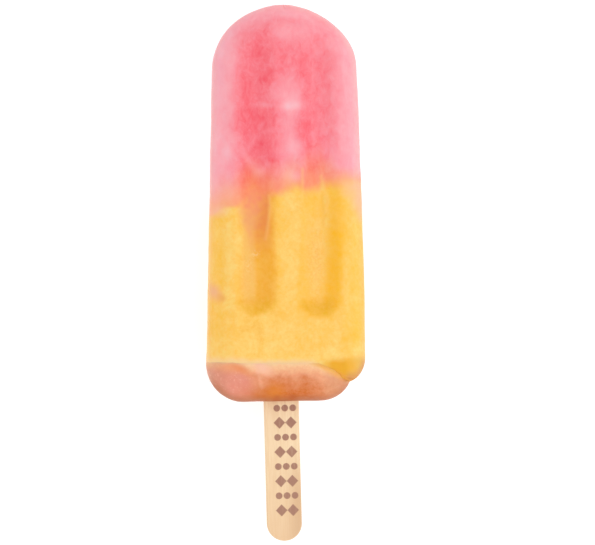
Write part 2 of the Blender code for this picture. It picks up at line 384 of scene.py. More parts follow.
SPACING = GROOVE_SPACING / MM
HALF_WIDTH = GROOVE_HALF_WIDTH / MM
LOW_END = GROOVE_LOW_END / MM
PINK_CLOUDS = (
    (0.48, 0.6, 95.8, 5.5, 8.0, 0),
    (0.22, 4.6, 94.5, 2.6, 3.2, 0),
    (-0.24, 1.7, 84.2, 5.0, 5.2, 0),
    # A thin pale strip along the middle ridge: frost with a painted highlight.
    (-0.14, 2.8, 86.5, 1.3, 6.5, 0),
    (-0.14, -5.2, 85.4, 2.8, 3.2, 0),
    (-0.15, -20.2, 83.8, 2.2, 2.4, 0),
    (0.10, -16.8, 82.0, 2.2, 2.4, 0),
    (-0.15, -20.4, 72.0, 2.2, 4.0, 0),
    (0.12, -15.6, 72.6, 2.4, 3.6, 0),
    (0.12, 17.6, 93.0, 1.8, 4.0, 0),
    # A narrow pale streak across the middle ridge: frost with a painted highlight.
    (-0.40, 1.6, 82.7, 6.2, 1.9, 4),
    (-0.12, -3.2, 86.5, 3.4, 5.0, 0),
    (-0.36, -6.2, 83.0, 4.0, 1.3, 0),
    (0.25, 4.4, 76.5, 3.2, 4.6, 0),
    (0.14, 1.6, 75.0, 2.8, 3.0, 0),
    (-0.10, -4.4, 75.0, 3.0, 2.6, 0),
    (-0.45, 2.3, 71.0, 3.8, 3.8, 0),
    (0.22, 6.2, 71.6, 2.6, 4.2, 0),
    (0.08, -7.0, 71.0, 3.5, 4.5, 0),
    (-0.15, -12.2, 70.6, 2.6, 2.2, 0),
    (0.15, -8.5, 80.5, 4.0, 3.5, 0),
    (0.08, -5.2, 79.0, 2.6, 3.0, 0),
    (0.12, -10.5, 79.5, 3.5, 3.5, 0),
    (0.12, 6.2, 79.4, 3.2, 3.0, 0),
    (0.17, -14.2, 78.5, 3.2, 8.0, 0),
    (0.20, -6.4, 90.5, 3.4, 3.5, 0),
    (0.12, -7.2, 98.8, 3.0, 3.5, 0),
    (-0.12, -12.0, 99.5, 3.5, 3.0, 0),
    (-0.14, 13.8, 99.5, 3.5, 3.5, 0),
    (-0.22, -11.6, 94.6, 2.4, 2.6, 0),
    (-0.14, -10.8, 90.5, 2.0, 2.0, 0),
    (0.12, -11.8, 82.0, 3.0, 1.6, 0),
    (0.15, 7.6, 80.0, 4.0, 1.4, 0),
    (-0.38, -8.2, 64.0, 2.6, 3.0, -50),
    (-0.22, -5.2, 65.0, 3.2, 3.6, 0),
    (-0.40, -10.9, 68.0, 6.6, 1.6, -58),
    (0.17, -15.4, 65.6, 2.6, 4.4, 0),
    (0.25, -11.2, 63.0, 3.0, 3.6, 0),
    (0.20, -3.6, 67.6, 2.4, 3.4, 0),
    (-0.25, 4.2, 66.8, 2.4, 4.2, 0),
    (0.30, 7.2, 66.0, 3.2, 5.0, 0),
    (-0.24, 12.4, 67.0, 3.2, 6.0, 0),
    (-0.22, -4.2, 86.6, 2.6, 4.4, 0),
    (0.16, 0.8, 87.0, 2.4, 3.2, 0),
    (-0.22, 1.6, 92.4, 2.0, 2.0, 0),
    (0.16, -4.2, 92.4, 2.2, 1.8, 0),
    (0.16, -7.4, 79.6, 2.6, 2.4, 0),
    (-0.45, 1.0, 63.2, 3.4, 2.8, 0),
    (-0.25, -17.0, 69.8, 2.2, 3.8, 0),
    (-0.20, -18.4, 98.3, 2.4, 2.4, 0),
    (0.15, 11.2, 81.5, 3.0, 2.6, 0),
    (0.15, 10.3, 89.0, 2.6, 3.0, 0),
    (-0.06, 1.4, 105.4, 3.6, 1.8, 0),
    (0.22, -1.0, 99.5, 4.0, 3.0, 0),
    (0.30, 0.0, 106.3, 7.0, 2.8, 0),
    (0.28, -6.5, 103.8, 3.8, 2.8, 0),
    (0.18, -5.6, 106.0, 2.8, 1.8, 0),
)
MELT_LINES = (
    ((-5.4, 57.6), (-5.2, 54.5), (-5.5, 51.0), (-6.4, 45.6)),
    ((4.0, 65.0), (3.9, 57.6)),
    ((9.3, 63.0), (9.8, 59.8), (10.7, 57.9), (11.3, 56.5), (11.0, 55.0)),
)
MELT_SHADE = ((9.4, 57.8), (9.8, 55.2), (10.2, 52.4), (9.8, 49.4))
YELLOW_CLOUDS = (
    (0.36, 15.2, 17.8, 2.8, 2.2, 0),
    (0.20, 11.0, 23.6, 3.4, 2.0, 0),
    (0.16, 13.6, 20.6, 2.2, 2.0, 0),
    (-0.10, 10.4, 17.8, 2.2, 2.0, 0),
    (0.20, -13.4, 47.5, 1.8, 2.6, 0),
    (-0.18, -1.8, 17.6, 1.8, 3.0, 0),
    (0.26, 7.4, 57.4, 4.2, 3.2, 0),
    (0.42, 9.2, 52.5, 1.2, 6.0, 0),
    (-0.22, 14.8, 58.0, 2.4, 3.4, 0),
    (0.28, -3.4, 56.5, 2.4, 2.6, 0),
    (0.15, 7.6, 53.0, 3.6, 6.0, 0),
    (0.15, 17.2, 34.0, 2.6, 8.0, 0),
    (0.16, 18.6, 21.6, 3.0, 2.8, 0),
    (0.20, -18.6, 42.0, 2.8, 8.0, 0),
    (-0.30, -17.4, 31.6, 2.2, 3.8, 0),
    (0.12, -18.0, 38.6, 3.2, 2.6, 0),
    (-0.16, -17.4, 22.2, 2.4, 3.0, 0),
    (0.14, -3.4, 22.5, 4.8, 3.2, 0),
    (-0.14, -5.4, 15.8, 3.2, 2.6, 0),
    (0.20, 4.6, 45.0, 3.4, 4.5, 0),
    (-0.14, -12.6, 40.0, 1.8, 3.0, 0),
)
PALE_BORDER = (-19.6, 53.4, 4.6, 2.6, 8)
SMEAR = (-20.9, 31.0, 4.8, 2.8, -55)
SMEAR_CORE = (-19.0, 29.3, 2.1, 1.6, -30)
GRAIN_SPOTS = (
    (1.0, -9.2, 41.6, 1.9, 1.7, 20),
    (0.7, -11.4, 38.0, 1.6, 3.0, 0),
)
FROST_PATCHES = (
    (1.0, -11.4, 36.0, 3.4, 14.0, 0),
    (1.0, 7.4, 40.0, 4.8, 19.0, 0),
)


def second_seam(x):
    """The height where the yellow turns pink, in millimetres."""
    left = 54.5 - 2.2 * smooth_between((-17.5, -21.5), x) + 5.2 * smooth_between((-14.5, -9.5), x)
    middle = 1.3 * smooth_between((-1.0, 11.0), x) - 1.8 * between(-6.0, -3.4, 4.0, 5.5, x)
    right = 1.6 * between(5.0, 8.0, 2.5, 2.2, x) + 0.6 * smooth_between((18.0, 21.0), x)
    return left + middle - right


def pink_share(place):
    """0 in the yellow and 1 in the pink. The border is blurred, but for its left end."""
    x = place.x / MM
    blur = mix(1.3, 3.8, smooth_between((-15.5, -12.0), x))
    wavy = mix(0.3, 1.0, smooth_between((-15.5, -12.0), x))
    seam = second_seam(x) + wavy * (0.6 * uneven(place, 3.0 * MM) + 0.4 * uneven(place, 1.1 * MM))
    return smooth((place.y / MM - seam) / blur + 0.5)


def veil_share(place):
    """How much of the yellow shows through the pink above the border."""
    x = place.x / MM
    high = 11.0 + 3.0 * between(-14.4, -12.0, 1.0, 2.0, x) + 4.0 * between(6.0, 8.5, 2.5, 2.0, x)
    high -= 2.0 * smooth_between((9.5, 11.5), x) + 3.5 * smooth_between((11.5, 15.5), x)
    above = place.y / MM - second_seam(x) + 1.0 * uneven(place, 3.4 * MM)
    clear = 0.6 * patch(place.x, place.y, (2.4, 63.4, 3.0, 2.8, 0))
    return (1 - smooth(0.15 + 0.85 * above / high)) * (1 - clear)


def eased(tone):
    """Leaves room above the deep tones, so that mottling still shows in them."""
    return 0.8 * tone if tone > 0 else tone


def pink_tone(place, front):
    """From -1, pale frost, past 0, the faces' margins, to 1, the deep colour of clear ice in the grooves. Along the
    outline the tone is lowered as painted light, more on the right.
    """
    x = place.x / MM + 0.6 * uneven(place, 4.0 * MM)
    v = place.y / MM + 0.6 * uneven(place, 4.0 * MM, 7.0)
    reach = 0.6 * between(70.0, 90.0, 3.0, 3.0, v)
    left = 0.82 * between(-11.0 - reach, -5.2, 5.5, 5.6, x)
    right = 0.64 * between(5.0, 9.0, 5.0, 8.5, x)
    ridge = 0.2 * smooth(1 - abs(x) / 4.0)
    tone = (max(left, right) + ridge) * (1 - smooth_between((96.5, 112.0), v)) + 0.03
    pane = 0.08 * between(-3.0, 3.4, 1.4, 0.9, x) * between(83.0, 88.0, 2.0, 2.2, v)
    # Painted light: the pink pales along its outline, where the thin ice lets light through, and more on the right,
    # which faces the lamp.
    inward = (side_limit(place.y) - abs(place.x)) / MM
    tone -= mix(0.07, 0.2, smooth_between((-5.0, 5.0), x)) * smooth_between((3.6, 0.4), inward)
    return eased(tone + front * (patches(x * MM, v * MM, PINK_CLOUDS) - pane))


def pink_rim_shade_share(place):
    """Painted shade: the pink greys a little along its outline, most of all round the tip's left side."""
    inward = (side_limit(place.y) - abs(place.x)) / MM
    if place.x > 0:
        return 0.35 * smooth(1 - inward / 1.3)
    round_tip = smooth_between((72.0, 96.0), place.y / MM)
    return mix(0.3, 0.55, round_tip) * smooth(1 - inward / mix(2.0, 5.0, round_tip))


def yellow_tone(place, front):
    """From -1, pale frost, to 1, the deep yellow on the right wall and at the low end of each groove: clear ice,
    deepened by painted shade where these walls turn from the light.
    """
    x, v = place.x / MM, place.y / MM
    ridges = max(between(-16.6, -15.8, 2.2, 2.2, x), between(-0.2, 1.4, 2.8, 2.8, x))
    ridges = max(ridges, 0.5 * between(15.6, 16.6, 1.2, 1.2, x)) * smooth_between((24.0, 30.0), v)
    edges = max(between(-22.0, -19.4, 1.0, 2.4, x), between(18.2, 22.0, 2.0, 1.0, x))
    edges *= smooth_between((13.0, 20.0), v)
    lower = smooth_between((20.0, 14.0), v) + patch(place.x, place.y, (12.0, 18.0, 4.0, 4.0, 0))
    spot = patch(place.x, place.y, (16.6, 17.2, 3.6, 3.6, 0))
    tone = 0.78 * groove_clear_and_shade(place) - 0.18 * ridges + 0.2 * edges - 0.2 * lower + 0.5 * spot
    return front * (tone + patches(place.x, place.y, YELLOW_CLOUDS))


def groove_clear_and_shade(place):
    """The slope on the right side of each groove, which runs on round the groove's low end: clear ice, darkened by
    painted shade of the wall turned from the light, with painted shade along each groove's left edge too.
    """
    x, v = place.x / MM, place.y / MM
    inner = 0.4 if x > 0 else 0.12
    shift = mix(-0.4, 1.1, smooth_between((26.0, 50.0), v)) if x > 0 else 0.0
    across = (abs(x) - SPACING - shift if x > 0 else SPACING - abs(x)) / HALF_WIDTH
    if x > 0 and across < 0:
        across *= 0.86
    down = max(LOW_END + HALF_WIDTH - v - (0.5 if x > 0 else 0.0), 0.0) / HALF_WIDTH
    # Painted shade along the outer part of each groove's left wall.
    wall = mix(0.2, 0.52, smooth_between((50.0, 32.0), v)) if x > 0 else 0.36 * smooth_between((44.0, 31.0), v)
    edge = wall * between(0.66, 0.92, 0.4, 0.16, -across)
    if down == 0:
        slope = between(inner, 0.68, 0.55, 0.55, across) * mix(1.0, 0.7, smooth_between((44.0, 62.0), v))
        return max(slope, edge)
    reach = math.hypot(across, down)
    turned = max(smooth_between((0.0, 0.5), across / reach), smooth_between((0.0, 0.4), down / reach), 0.22)
    turned = max(turned, 0.85 * smooth_between((32.0, 28.4) if x > 0 else (31.0, 28.0), v))
    ring = between(mix(inner, 0.48, down), mix(0.68, 0.72, down), 0.55, mix(0.55, 0.45, down), reach)
    return max(ring * turned, edge * smooth(1.6 - reach))


def low_end_shade_share(place):
    """Painted shade at a groove's low end, which dulls the clear ice there."""
    reach = groove_reach(place.x, place.y)
    right_end = smooth_between((11.0, 14.0), place.x / MM)
    low = smooth_between((31.0, 26.0), place.y / MM) * smooth_between((1.3, 0.9), reach)
    return low * mix(1.0, 0.2, right_end)


def corner_shade_share(place, front):
    """The deep yellow patch over the notch at the stick end: painted shade where the yellow curves down towards the
    crease.
    """
    x, v = place.x / MM + 0.5 * uneven(place, 2.0 * MM), place.y / MM + 0.6 * uneven(place, 2.4 * MM, 3.0)
    return front * between(12.0, 15.4, 4.4, 4.6, x) * smooth_between((13.0, 10.8), v)


def corner_rim_share(x, v):
    """The last layer's peach shines through just above the seam."""
    return 0.6 * smooth_between((8.0, 12.0), x / MM) * smooth(1 - (v - first_seam(x)) / (1.5 * MM))


def lip_shade_share(place, front):
    """Painted shade on the lip over the notch, deeper towards its outline, where the lip rounds down away from the
    light.
    """
    x, v = place.x / MM, place.y / MM + 0.3 * uneven(place, 2.0 * MM)
    return 0.95 * front * smooth_between((14.6, 19.0), x) * smooth_between((14.4, 11.2), v)


def lip_edge_shade_share(place):
    """Painted shade where the lip turns away at its outline."""
    distance = corner_distance(place.x, place.y, lip_side(place.y), LIP_CORNER, first_seam(place.x)) / MM
    turned = smooth_between((15.0, 17.0), place.x / MM) * smooth_between((13.5, 9.5), place.y / MM)
    return 0.85 * smooth_between((2.6, 0.2), distance) * turned


def stain_share(place, front):
    """The pink has run down the left groove."""
    x = place.x / MM + 0.5 * uneven(place, 2.0 * MM)
    v = place.y / MM + 1.2 * uneven(place, 2.4 * MM)
    left = mix(-9.6, -11.6, smooth_between((44.0, 54.0), v))
    run = smooth_between((39.0, 52.0), v) * (1 - smooth_between((58.5, 63.0), v))
    spot = 0.35 * patch(place.x, place.y, (-8.3, 42.9, 1.7, 1.5, 0))
    rough = 0.88 + 0.3 * uneven(place, 1.3 * MM, 2.0)
    return clamp(front * max(between(left, -6.4, 3.4, 2.8, x) * run * rough, spot))


def margin_share(place):
    """The peach-coloured margin where the border meets the right side."""
    x, v = place.x / MM + 0.8 * uneven(place, 3.0 * MM), place.y / MM + 1.3 * uneven(place, 3.2 * MM, 5.0)
    start = mix(16.4, 10.4, smooth_between((55.0, 61.0), v))
    return 0.85 * smooth_between((start, 21.5), x) * between(54.0, 60.0, 5.0, 4.0, v)


def cream_share(place, front):
    """The yellow pales towards the last layer, most at the left."""
    x = place.x / MM
    above = (place.y - first_seam(place.x)) / MM + 0.3 * uneven(place, 2.0 * MM)
    left = 1 - smooth_between((-15.0, -9.0), x)
    band = smooth(1 - (above - 0.6 * left) / mix(1.9, 2.2, left))
    return front * band**1.3 * (1 - smooth_between((5.0, 10.0), x)) * mix(1.0, 0.8, left)


# ---- drawing the ice ----


def column_place(column, left, right):
    """The place across of one column: close together round the edges, even along the face."""
    corner = min(EDGE_ROUND, (right - left) / 2)
    last = 2 * CORNER_STEPS + FACE_STEPS
    from_edge = min(column, last - column)
    if from_edge > CORNER_STEPS:
        return mix(left + corner, right - corner, (column - CORNER_STEPS) / FACE_STEPS)
    inward = corner * (1 - math.cos(math.pi / 2 * from_edge / CORNER_STEPS))
    return left + inward if column < last / 2 else right - inward


def side_point(limit, low, high, share):
    """Where a ring, which lies a share of the way up a layer, meets the outline on one side."""
    x = limit(mix(low(0.0), high(0.0), share))
    for _ in range(SIDE_ROUNDS):
        x = mix(x, limit(mix(low(x), high(x), share)), 0.5)
    return x


def ring_share(share):
    """Ring spacing that closes up at both ends of a layer."""
    return mix(share, (1 - math.cos(math.pi * share)) / 2, 0.6)


def slab(columns, rings):
    """A unit box with a grid on its two faces and strips round its edge. x and y run 0 to 1, and z -1 to 1."""
    bm = bmesh.new()
    bmesh.ops.create_grid(bm, x_segments=columns, y_segments=rings, size=0.5)
    bmesh.ops.translate(bm, verts=bm.verts, vec=(0.5, 0.5, 1.0))
    made = bmesh.ops.extrude_face_region(bm, geom=bm.faces[:])
    back = [item for item in made["geom"] if isinstance(item, bmesh.types.BMVert)]
    bmesh.ops.translate(bm, verts=back, vec=(0.0, 0.0, -2.0))
    walls = [edge for edge in bm.edges if abs(edge.verts[0].co.z - edge.verts[1].co.z) > 1]
    bmesh.ops.subdivide_edges(bm, edges=walls, cuts=SIDE_STRIPS - 1, use_grid_fill=True)
    return bm


def layer(rings, seams, limits, depth):
    """One layer of ice, and the place of each of its points before any relief."""
    low, high = seams
    columns = 2 * CORNER_STEPS + FACE_STEPS
    bm = slab(columns, rings)
    shares = [ring_share(ring / rings) for ring in range(rings + 1)]
    sides = [[side_point(limit, low, high, share) for limit in limits] for share in shares]
    places = []
    for vert in bm.verts:
        ring = round(vert.co.y * rings)
        x = column_place(round(vert.co.x * columns), *sides[ring])
        v = mix(low(x), high(x), shares[ring])
        front = vert.co.z
        z = front * depth(x, v)
        places.append((Vector((x, v, z)), front))
        vert.co = (x * swell(v) + tip_lean(v) + AXIS, v + ICE_END, half_depth(v) + z)
    bmesh.ops.recalc_face_normals(bm, faces=bm.faces)
    return bm, places


def raise_relief(bm, places, relief):
    """Moves each point in or out along the surface's normal, and keeps the back on the floor."""
    bm.normal_update()
    moves = [vert.normal * relief(*spot) for vert, spot in zip(bm.verts, places)]
    for vert, move in zip(bm.verts, moves):
        vert.co += move
        vert.co.z = max(vert.co.z, 0.0)


def lumps(place):
    return sum(height * uneven(place, size, seed=size / MM) for height, size in LUMPS)


def finish_piece(bm, name, finish, shares=()):
    mesh = bpy.data.meshes.new(name)
    bm.to_mesh(mesh)
    bm.free()
    mesh.shade_smooth()
    for share_name, values in shares:
        mesh.attributes.new(share_name, "FLOAT", "POINT").data.foreach_set("value", values)
    mesh.materials.append(finish)
    made = bpy.data.objects.new(name, mesh)
    bpy.context.scene.collection.objects.link(made)
    return made


def frost_share(x, v, front):
    face = abs(front) * patches(x, v, FROST_PATCHES)
    return clamp(face)


def melt_share(x, v):
    return max(streak(x, v, route, 0.8) for route in MELT_LINES)


def upper_relief(place, front):
    x, v = place.x, place.y
    height = lumps(place)
    height += GRAIN[0] * uneven(place, GRAIN[1]) * (0.3 + 0.7 * frost_share(x, v, front))
    height += MELT_LINE * melt_share(x, v) * max(front, 0.0)
    level = mix(1.0, 0.5, between(8.0, 13.0, 3.0, 2.0, x / MM))
    return height - level * rim_dip(v - seam_bottom(x))


def upper_shares(places):
    """For each point of the upper ice, the shares that its material reads."""
    names = (
        "pink", "pink_rim_shade", "veil", "pink_tone", "yellow_tone", "left_groove", "stain", "stain_top", "stain_side",
        "frost", "corner", "corner_rim", "lip", "lip_edge_shade", "low_end_shade", "floor", "grains", "cream", "margin", "melt",
        "melt_shade", "smear", "smear_core",
    )
    rows = {name: [] for name in names}
    for place, front in places:
        x, v = place.x, place.y
        face = max(front, 0.0)
        rows["pink"].append(pink_share(place))
        rows["pink_rim_shade"].append(pink_rim_shade_share(place))
        rows["veil"].append(veil_share(place))
        rows["pink_tone"].append(pink_tone(place, face))
        rows["yellow_tone"].append(yellow_tone(place, abs(front)))
        rows["left_groove"].append(between(-13.0, -4.0, 2.0, 1.5, x / MM))
        rows["stain"].append(stain_share(place, face))
        rows["stain_top"].append(smooth_between((51.0, 58.0), v / MM))
        rows["stain_side"].append(smooth_between((-10.5, -7.0), x / MM + 0.25 * (50.0 - v / MM)))
        rows["frost"].append(frost_share(x, v, front))
        rows["corner"].append(corner_shade_share(place, face))
        rows["corner_rim"].append(corner_rim_share(x, v) * face)
        rows["lip"].append(lip_shade_share(place, face))
        rows["lip_edge_shade"].append(lip_edge_shade_share(place))
        rows["low_end_shade"].append(low_end_shade_share(place))
        rows["floor"].append(0.6 * face * between(-12.0, -10.2, 1.4, 1.6, x / MM) * smooth_between((27.0, 31.0), v / MM))
        rows["grains"].append(patches(x, v, GRAIN_SPOTS) * face)
        rows["cream"].append(cream_share(place, face))
        rows["margin"].append(max(margin_share(place), 0.6 * patch(x, v, PALE_BORDER)) * face)
        rows["melt"].append(melt_share(x, v) * face)
        rows["melt_shade"].append(0.3 * face * streak(x + 0.5 * MM * uneven(place, 1.6 * MM), v, MELT_SHADE, 0.9))
        smear_x = x + 0.6 * MM * uneven(place, 1.5 * MM)
        high = smooth_between((-6.0, 7.0), place.z / MM)
        rows["smear"].append(patch(smear_x, v, SMEAR) * high)
        rows["smear_core"].append(0.75 * patch(smear_x, v, SMEAR_CORE) * high)
    return [(name, rows[name]) for name in names]


def upper_ice():
    """The tip layer and the middle one, which froze into each other: one body, pink above and yellow below."""
    bm, places = layer(UPPER_RINGS, (seam_bottom, tip), (left_limit, upper_right), upper_depth)
    raise_relief(bm, places, upper_relief)
    made = finish_piece(bm, "upper_ice", upper_ice_material(), upper_shares(places))
    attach(made, "root")
    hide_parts("pink_ice", "yellow_ice")
    return made


# ---- the last layer ----

LOBE = (-16.6, 3.5, 7.6, 8.2)
LOBE_BAND = (-13.7, 9.5, 5.2, 1.7, -25)
LOBE_LINE = ((-9.2, 9.0), (-8.4, 6.4), (-7.8, 4.4))
LOBE_TOP = (-16.8, 10.0, 6.4, 2.6, -4)
LOW_WARM = (-9.2, 1.5, 8.5, 6.0, 0)
SEAM_LINE = (-20.4, 11.0, 3.4, 0.6, 0)
AMBER = (-4.4, 2.6, 4.8, 5.0, 0)
DARK_SPOTS = (
    (0.8, -3.5, 1.4, 1.6, 1.5, 0),
    (0.8, 0.9, 1.4, 1.8, 1.6, 0),
)
STREAKS = (
    (0.16, 3.9, 6.4, 1.3, 3.6, 0),
    (0.12, -0.6, 6.0, 1.0, 3.0, 8),
    (-0.14, 2.0, 4.6, 1.0, 3.0, 0),
    (-0.10, 5.6, 4.0, 0.9, 3.0, 0),
    (-0.12, 11.0, 4.4, 1.6, 3.2, 10),
    (-0.10, -7.9, 4.9, 1.4, 3.6, 0),
    (0.14, 8.6, 4.0, 1.2, 3.0, 0),
)


def rim_amber_share(x, v):
    """The rim takes on the colour of the clear yellow above it."""
    below = (first_seam(x) - v) / MM
    wide = mix(1.0, 2.0, smooth_between((6.0, 12.0), x / MM))
    return 0.85 * smooth(1 - below / wide) * smooth_between((4.0, 9.0), x / MM)


def rim_top(x):
    return first_seam(x) + RIM_OVERLAP


def lobe_reach(place):
    """The way from the middle of the rounded lobe at the left: 1 at its edge."""
    across, up, wide, high = LOBE
    x = place.x / MM + 0.5 * uneven(place, 2.5 * MM)
    v = place.y / MM + 0.5 * uneven(place, 2.5 * MM, 4.0)
    return math.hypot(max(x - across, 0.0) / wide, max(v - up, 0.0) / high)


def lobe_share(place):
    return smooth_between((1.15, 0.6), lobe_reach(place))


def peach_tone(place):
    """From -1, the pale rim under the seam, frost with a painted highlight where the rim catches the light, to 1, the
    deep orange round the stick, deep partly in its own colour and partly as painted shade where the end rounds away
    from the light.
    """
    x = place.x / MM
    under_seam = (first_seam(place.x) - place.y) / MM
    below = mix((FIRST_SEAM - place.y) / MM, under_seam, 0.2) - 0.35 * uneven(place, 2.5 * MM)
    left = smooth_between((-4.5, -9.0), x)
    right = smooth_between((5.0, 9.0), x)
    # A painted highlight: a thin pale rim along the seam on the right.
    rim = 0.3 * right * smooth(1 - under_seam / 1.4)
    steep = mix(0.36, 0.25, right)
    knee = 3.9 - 0.7 * left
    slow = 0.11 * (1 - left)
    tone = -1.05 + steep * min(below, knee) + slow * max(below - knee, 0.0)
    return tone - rim + 0.22 * left * max(below - 6.0, 0.0) + patches(place.x, place.y, STREAKS)


def foot_shade_and_seam_line_share(place):
    """Painted shade where the ice turns away at its low outline, and a thin dark line along the seam at the left."""
    x, v = place.x, place.y
    left = corner_distance(-x, v, half_width(v), LEFT_CORNER, ICE_FOOT)
    right = corner_distance(x, v, LAST_LAYER_RIGHT, LAST_LAYER_CORNER, ICE_FOOT)
    turned = smooth_between((2.8, -0.2), min(left, right) / MM) * smooth_between((8.5, 3.5), v / MM)
    return turned * mix(1.0, 0.7, smooth_between((8.0, 12.0), x / MM)) + 0.12 * patch(x, v, SEAM_LINE)


def rim_dip(distance):
    """How far a layer's edge dips under its neighbour: 0 from a rim's width in."""
    return 2 * PROUD * clamp(1 - distance / RIM_WIDTH) ** 2


def last_layer_relief(place, front):
    left = smooth_between((-15.0, -19.0), place.x / MM)
    height = lumps(place) + PROUD * (1 + 0.3 * left)
    height += GRAIN[0] * uneven(place, GRAIN[1]) * clamp(-peach_tone(place))
    height += 0.12 * MM * lobe_share(place) * max(front, 0.0)
    return height - rim_dip(rim_top(place.x) - place.y)


def last_layer_shares(places):
    names = (
        "peach_tone", "rim_pink", "rim_amber", "low_warm", "lobe", "lobe_side", "lobe_band", "lobe_top",
        "lobe_line", "amber", "right_end", "foot_shade_and_seam_line", "dark",
    )
    rows = {name: [] for name in names}
    for place, front in places:
        x, v = place.x, place.y
        rows["peach_tone"].append(peach_tone(place))
        rows["rim_pink"].append(0.9 * patch(x, v, (-7.8, 9.8, 4.8, 2.7, -28)))
        rows["rim_amber"].append(rim_amber_share(x, v))
        # Painted shade: the peach is duller at its right end by the notch.
        rows["right_end"].append(0.45 * smooth_between((8.0, 12.5), x / MM) * smooth_between((9.5, 7.0), v / MM))
        rows["lobe_line"].append(0.2 * streak(x, v, LOBE_LINE, 0.8))
        rows["low_warm"].append(0.62 * patch(x, v, LOW_WARM) * max(front, 0.0))
        rows["lobe"].append(lobe_share(place))
        rows["lobe_side"].append(smooth_between((-21.5, -15.0), x / MM))
        rows["lobe_band"].append(patch(x, v, LOBE_BAND) * max(front, 0.0))
        rows["lobe_top"].append(patch(x, v, LOBE_TOP) * max(front, 0.0))
        rows["amber"].append(patch(x + 0.5 * MM * uneven(place, 2.0 * MM), v, AMBER))
        rows["foot_shade_and_seam_line"].append(foot_shade_and_seam_line_share(place))
        rows["dark"].append(patches(x, v, DARK_SPOTS) * max(front, 0.0))
    return [(name, rows[name]) for name in names]


def last_layer():
    bm, places = layer(
        LAST_LAYER_RINGS, (stick_end, rim_top), (left_limit, last_layer_right), last_layer_depth
    )
    raise_relief(bm, places, last_layer_relief)
    made = finish_piece(bm, "last_layer", last_layer_material(), last_layer_shares(places))
    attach(made, "root")
    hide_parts("peach_ice")
    return made


# ---- materials ----


def feed(tree, socket, value):
    if isinstance(value, bpy.types.NodeSocket):
        tree.links.new(value, socket)
    else:
        socket.default_value = value


def node(tree, kind, feeds, **settings):
    """Adds a node, sets it up and feeds its inputs, each of which is named or numbered."""
    made = tree.nodes.new(kind)
    for setting, value in settings.items():
        setattr(made, setting, value)
    for socket, value in feeds.items():
        feed(tree, made.inputs[socket], value)
    return made


def math_node(tree, operation, *values):
    made = node(tree, "ShaderNodeMath", dict(enumerate(values)), operation=operation)
    return made.outputs[0]


def blend(tree, share, low, high):
    """Mixes two colours by a share."""
    made = node(tree, "ShaderNodeMix", {0: share, 6: low, 7: high}, data_type="RGBA", clamp_factor=True)
    return made.outputs[2]


def stretch(tree, value, low, high, to_low=0.0, to_high=1.0):
    """Maps a value's span to another one, and stops at its ends."""
    feeds = {"Value": value, "From Min": low, "From Max": high, "To Min": to_low, "To Max": to_high}
    return node(tree, "ShaderNodeMapRange", feeds).outputs[0]


def three_tones(tree, tone, pale, middle, deep):
    """A colour that is pale at -1, middle at 0 and deep at 1."""
    colour = blend(tree, tone, middle, deep)
    return blend(tree, math_node(tree, "MULTIPLY", tone, -1.0), colour, pale)


def share_of(tree, name):
    """A share that the piece's mesh carries."""
    return node(tree, "ShaderNodeAttribute", {}, attribute_name=name).outputs["Fac"]


def noise_value(tree, place, scale, detail=2.0, roughness=0.5, distortion=0.0):
    feeds = {
        "Vector": place, "Scale": scale, "Detail": detail, "Roughness": roughness, "Distortion": distortion,
    }
    return node(tree, "ShaderNodeTexNoise", feeds).outputs["Fac"]


def object_place(tree):
    return node(tree, "ShaderNodeTexCoord", {}).outputs["Object"]


def ice_grain_group():
    """Shared by both kinds of ice: cloudy mottling, fine speckle and the height of the frost's grains."""
    tree = bpy.data.node_groups.new("ice_grain", "ShaderNodeTree")
    tree.interface.new_socket("Frost", in_out="INPUT", socket_type="NodeSocketFloat")
    for name in ("Clouds", "Wisps", "Mottle", "Speckle", "Height"):
        tree.interface.new_socket(name, in_out="OUTPUT", socket_type="NodeSocketFloat")
    start = tree.nodes.new("NodeGroupInput")
    end = tree.nodes.new("NodeGroupOutput")
    place = object_place(tree)
    drawn_out = node(tree, "ShaderNodeMapping", {"Vector": place, "Scale": (1.0, 0.6, 1.0)}).outputs[0]
    wisps = noise_value(tree, drawn_out, 560.0, 4.0, 0.7, 0.6)
    broad = noise_value(tree, place, 170.0, 3.0, 0.6, 0.6)
    fine = noise_value(tree, place, 620.0, 2.0, 0.6)
    grains = noise_value(tree, place, 1500.0, 2.0, 0.65)
    clouds = math_node(tree, "ADD", math_node(tree, "MULTIPLY", broad, 0.7), math_node(tree, "MULTIPLY", fine, 0.3))
    feed(tree, end.inputs["Clouds"], stretch(tree, clouds, 0.32, 0.68))
    feed(tree, end.inputs["Wisps"], stretch(tree, wisps, 0.3, 0.7))
    mottle = noise_value(tree, place, 720.0, 4.0, 0.75, 0.3)
    feed(tree, end.inputs["Mottle"], stretch(tree, mottle, 0.3, 0.7))
    feed(tree, end.inputs["Speckle"], stretch(tree, grains, 0.35, 0.65))
    rough = math_node(tree, "MULTIPLY", grains, math_node(tree, "ADD", start.outputs["Frost"], 0.35))
    feed(tree, end.inputs["Height"], math_node(tree, "ADD", rough, math_node(tree, "MULTIPLY", fine, 0.6)))
    return tree


